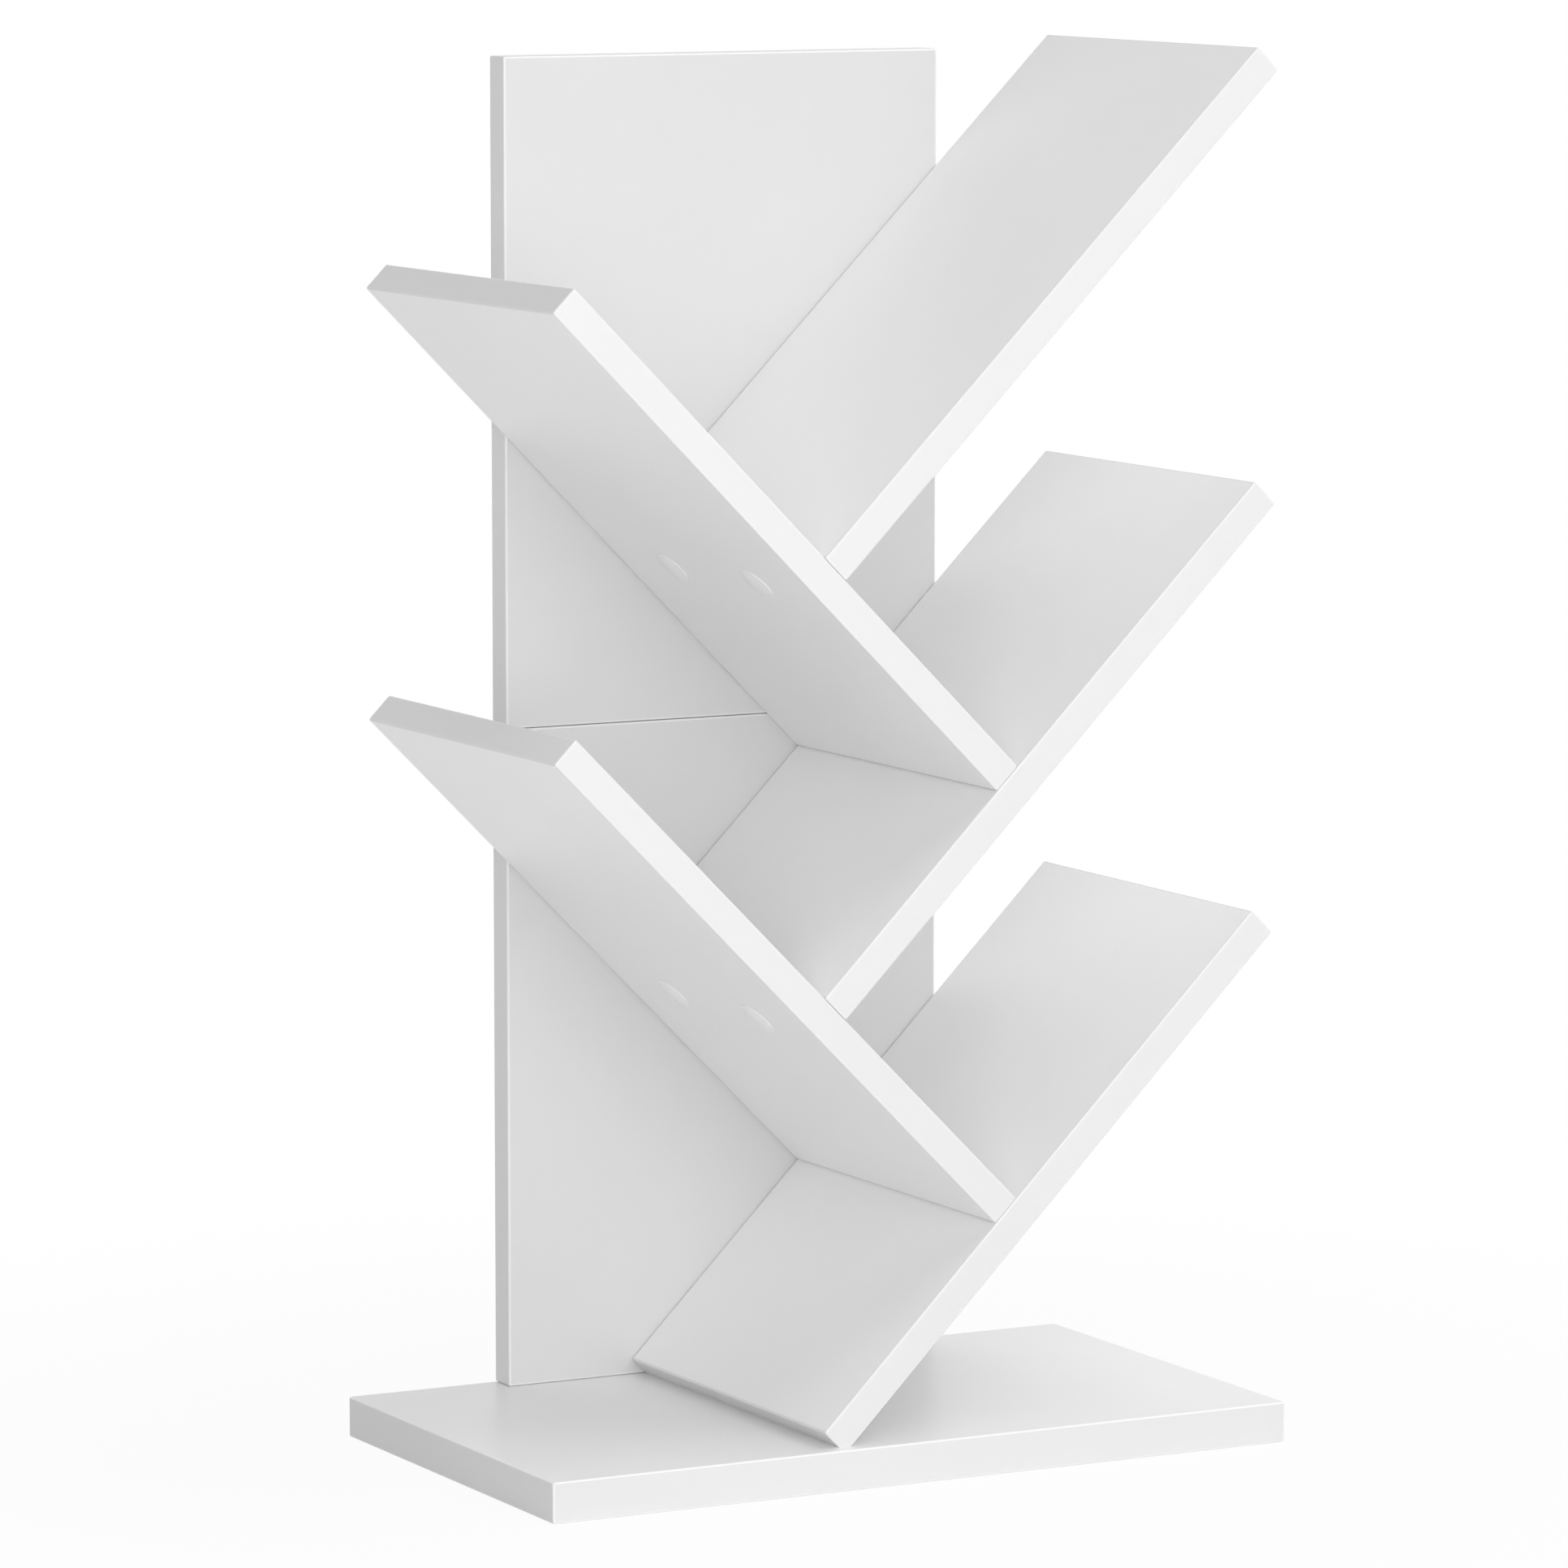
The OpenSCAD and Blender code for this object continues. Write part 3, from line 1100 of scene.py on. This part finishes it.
@dataclass
class Carcass:
    """The eight boards: the base, the two back boards and the five shelves."""

    sizes: Shelving

    SHELVES = (
        "bottom_right_shelf",
        "lower_left_shelf",
        "middle_right_shelf",
        "upper_left_shelf",
        "top_right_shelf",
    )
    # The rounding of the block that saws off a corner, too small to be seen.
    SAW_ROUND = 0.01 * MM

    def upright(self, node: str, box: Box, drilling: Drilling) -> Board:
        """A node's board that stands square in the shelf's frame and fills a box."""
        form = RoundedBoard(tuple(box.size), self.sizes.edge_round)
        return Board(node, form, Place(box.middle, np.eye(3)), drilling)

    def base(self) -> Board:
        """The base board.

        Returns:
            The board, drilled for its screws and dowels.
        """
        s = self.sizes
        drilling = Drilling().screws(s.base_screw_places()).dowels(s.dowel_places(s.base_dowel_z))
        return self.upright("base_board", s.base, drilling)

    def back(self, node: str, box: Box) -> Board:
        """One of the back boards, short by a fine joint line where it meets another board.

        Args:
            node: The CAD node that it stands for.
            box: That node's box.

        Returns:
            The board, with the holes that open into it.
        """
        s = self.sizes
        line = np.array([0.0, 0.0, s.joint_line])
        is_lower = box.low[2] < s.seam_z
        shown = Box(box.low + line, box.high - line if is_lower else box.high)
        drilling = Drilling().dowels(s.dowel_places(s.seam_dowel_z))
        for level in range(len(self.SHELVES)):
            places = s.back_screw_places(level)
            drilling.screws([p for p in places if box.low[2] < p.origin[2] < box.high[2]])
        if is_lower:
            drilling.dowels(s.dowel_places(s.base_dowel_z)).screws(s.base_screw_places())
        return self.upright(node, shown, drilling)

    def shelf(self, level: int) -> Board:
        """One of the leaning shelves, short by a fine joint line at the back and at its joint.

        Args:
            level: Number of the shelf in the zigzag.

        Returns:
            The board, with the holes that open into it.
        """
        s = self.sizes
        own = s.shelf_place(level)
        start = s.joint_line if level > 0 else 0.0
        size = (s.shelf_len - start, s.shelf_d - s.joint_line, s.shelf_t)
        middle = np.array([start + size[0] / 2, s.shelf_y + size[1] / 2, -s.shelf_t / 2])
        drilling = Drilling().screws(s.back_screw_places(level))
        if level > 0:
            drilling.screws(s.joint_screw_places(level - 1))
        if level < len(self.SHELVES) - 1:
            drilling.screws(s.joint_screw_places(level))
        sawn = [] if level else [self.below_base()]
        place = Place(own.to_shelf(middle), own.axes)
        form = RoundedBoard(size, s.edge_round)
        return Board(self.SHELVES[level], form, place, drilling, sawn)

    def below_base(self) -> Surface:
        """A block up to the base's upper face, which takes the corner off the lowest shelf.

        Returns:
            The block, as wide and deep as the base.
        """
        base, depth = self.sizes.base, self.sizes.shelf_t
        block = RoundedBoard((base.size[0], base.size[1], depth), self.SAW_ROUND, arc_steps=1)
        middle = np.array([base.middle[0], base.middle[1], base.high[2] - depth / 2])
        return block.surface().placed(Place(middle, np.eye(3)))

    def build(self) -> None:
        """Makes and dresses the base, the back boards and the shelves."""
        finishes = BoardFinishes()
        core = finishes.core.material()
        trim = [finishes.band.material(), core]
        self.base().build([finishes.base.material(), finishes.base_band_painted_highlight.material(), core])
        back = finishes.back.material()
        self.back("lower_back_board", self.sizes.lower_back).build([back, *trim])
        self.back("upper_back_board", self.sizes.upper_back).build([back, *trim])
        shelf = finishes.shelf.material()
        for level in range(len(self.SHELVES)):
            self.shelf(level).build([shelf, *trim])


@dataclass(frozen=True)
class Kind:
    """A kind of hardware: its surface, its material slot in the record and its material."""

    form: Surface
    slot: str
    material: bpy.types.Material


@dataclass
class Hardware:
    """Screws, covers and dowels, each kind made once and repeated in its places."""

    sizes: Shelving

    # Edges that turn by more than this are shaded as crisp.
    CRISP_DEG = 35

    def repeat(self, node: str, kind: Kind, places: list[Place]) -> None:
        """Makes one piece of several like solids, shaded smooth but for its crisp edges.

        Args:
            node: The CAD node that the piece stands for.
            kind: What the solids are.
            places: Their frames.
        """
        mesh = Surface.joined([kind.form.placed(place) for place in places]).to_mesh(node)
        mesh.polygons.foreach_set("use_smooth", np.ones(len(mesh.polygons), bool))
        mesh.set_sharp_from_angle(angle=math.radians(self.CRISP_DEG))
        make_piece(node, mesh, [kind.material])

    def build(self) -> None:
        """Makes and dresses every piece of hardware."""
        s = self.sizes
        finishes = HardwareFinishes()
        screw = Kind(ConnectingScrew().surface(), "screw", finishes.screw.material())
        cover = Kind(ScrewCover().surface(), "cover", finishes.cover.material())
        dowel = Kind(Dowel().surface(), "dowel", finishes.dowel.material())
        self.repeat("base_dowels", dowel, s.dowel_places(s.base_dowel_z))
        self.repeat("back_board_dowels", dowel, s.dowel_places(s.seam_dowel_z))
        self.repeat("base_screws", screw, s.base_screw_places())
        for level, shelf in enumerate(Carcass.SHELVES):
            name = shelf.removesuffix("_shelf")
            self.repeat(f"{name}_back_screws", screw, s.back_screw_places(level))
            if level > 0:
                joint = s.joint_screw_places(level - 1)
                self.repeat(f"{name}_joint_screws", screw, joint)
                self.repeat(f"{name}_screw_covers", cover, joint)


@dataclass(frozen=True)
class Softbox:
    """A square area lamp that faces the shelf: azimuth 0 is in front of it, 90 on its right."""

    name: str
    azimuth_deg: float
    elevation_deg: float
    power: float
    width: float = 1.4
    distance: float = 2.4

    def build(self, target: Vector) -> None:
        """Hangs the lamp.

        Args:
            target: The point that the lamp is aimed at.
        """
        lamp = bpy.data.lights.new(self.name, "AREA")
        lamp.shape = "SQUARE"
        lamp.size = self.width
        lamp.energy = self.power
        obj = add_object(self.name, lamp)
        az, el = math.radians(self.azimuth_deg), math.radians(self.elevation_deg)
        away = Vector((math.sin(az) * math.cos(el), -math.cos(az) * math.cos(el), math.sin(el)))
        obj.location = target + away * self.distance
        obj.rotation_euler = away.to_track_quat("Z", "Y").to_euler()
        obj.visible_camera = False


@dataclass(frozen=True)
class Studio:
    """A plain pale floor, soft light and the camera at the photograph's angle."""

    ambient: float = 0.385
    floor_size: float = 30.0
    floor_drop: float = 0.2 * MM
    floor_colour: NodeColour = NodeColour.grey(0.95)
    floor_veil: float = 0.93
    veil_start: float = 0.2
    veil_radius: float = 0.6
    target_z: float = 0.25
    camera_place: tuple[float, float, float] = (-1.3778, -2.5722, 0.6144)
    camera_yaw_deg: float = 27.944
    camera_pitch_deg: float = 7.246
    lens_mm: float = 185.14
    sensor_mm: float = 36.0
    clip_end: float = 100.0
    lamps: tuple[Softbox, ...] = (
        Softbox("left_softbox", -30.0, 10.0, 18.5),
        Softbox("front_softbox", 0.0, 10.0, 16.0),
        Softbox("top_right_softbox", 64.0, 61.0, 22.0, width=1.8),
        Softbox("rear_softbox", 180.0, 3.0, 13.0),
    )

    def world(self) -> None:
        """A dim even surround that shows white to the camera and in reflections."""
        world = bpy.data.worlds.new("studio")
        bpy.context.scene.world = world
        s = Nodes(world)
        lights = [
            s.node("Background", {"Color": NodeColour.grey(1.0), "Strength": strength}).outputs[0]
            for strength in (self.ambient, 1.0)
        ]
        mix = s.node("MixShader", {0: s.seen_ray(), 1: lights[0], 2: lights[1]})
        s.node("OutputWorld", {"Surface": mix.outputs[0]})

    def floor(self) -> None:
        """A pale floor that takes the shelf's soft shadow and fades into the white surround.

        To the camera most of the floor's tone is plain white, so that its shadow stays faint.
        That share grows with the distance from the shelf until the floor is all white.
        """
        corners = np.array([(-1, -1, 0), (1, -1, 0), (1, 1, 0), (-1, 1, 0)])
        mesh = Surface(corners * self.floor_size / 2, [[0, 1, 2, 3]]).to_mesh("floor")
        material = bpy.data.materials.new("pale_floor")
        mesh.materials.append(material)
        s = Nodes(material)
        place = s.node("TexCoord").outputs["Object"]
        distance = s.node("VectorMath", {0: place}, operation="LENGTH")
        reach = {"From Min": self.veil_start, "From Max": self.veil_radius}
        share = {"To Min": self.floor_veil, "To Max": 1.0, "Value": distance.outputs["Value"]}
        veil = s.node("MapRange", reach | share, interpolation_type="SMOOTHSTEP")
        either = {0: s.seen_ray(), 1: veil.outputs["Result"]}
        shown = s.node("Math", either, operation="MULTIPLY")
        paint = s.node("BsdfDiffuse", {"Color": self.floor_colour})
        white = s.node("Emission", {"Strength": 1.0})
        mix = s.node("MixShader", {i: n.outputs[0] for i, n in enumerate((shown, paint, white))})
        s.node("OutputMaterial", {"Surface": mix.outputs[0]})
        floor = add_object("floor", mesh)
        floor.location.z = -self.floor_drop

    def camera(self) -> None:
        """The camera, low in front of the shelf's left side."""
        data = bpy.data.cameras.new("camera")
        data.lens = self.lens_mm
        data.sensor_width = self.sensor_mm
        data.clip_end = self.clip_end
        camera = add_object("camera", data)
        camera.location = self.camera_place
        pitch, yaw = math.radians(self.camera_pitch_deg), math.radians(self.camera_yaw_deg)
        camera.rotation_euler = (math.pi / 2 - pitch, 0.0, -yaw)
        bpy.context.scene.camera = camera

    def build(self) -> None:
        """Sets up the surround, the floor, the lamps and the camera."""
        bpy.context.scene.view_settings.view_transform = "Standard"
        self.world()
        self.floor()
        target = Vector((0.0, 0.0, self.target_z))
        for lamp in self.lamps:
            lamp.build(target)
        self.camera()


def main() -> None:
    """Builds the studio and the shelf's pieces in order."""
    logging.basicConfig(level=logging.INFO, format="%(message)s")
    sizes = Shelving()
    Studio().build()
    Carcass(sizes).build()
    Hardware(sizes).build()


if __name__ == "__main__":
    main()
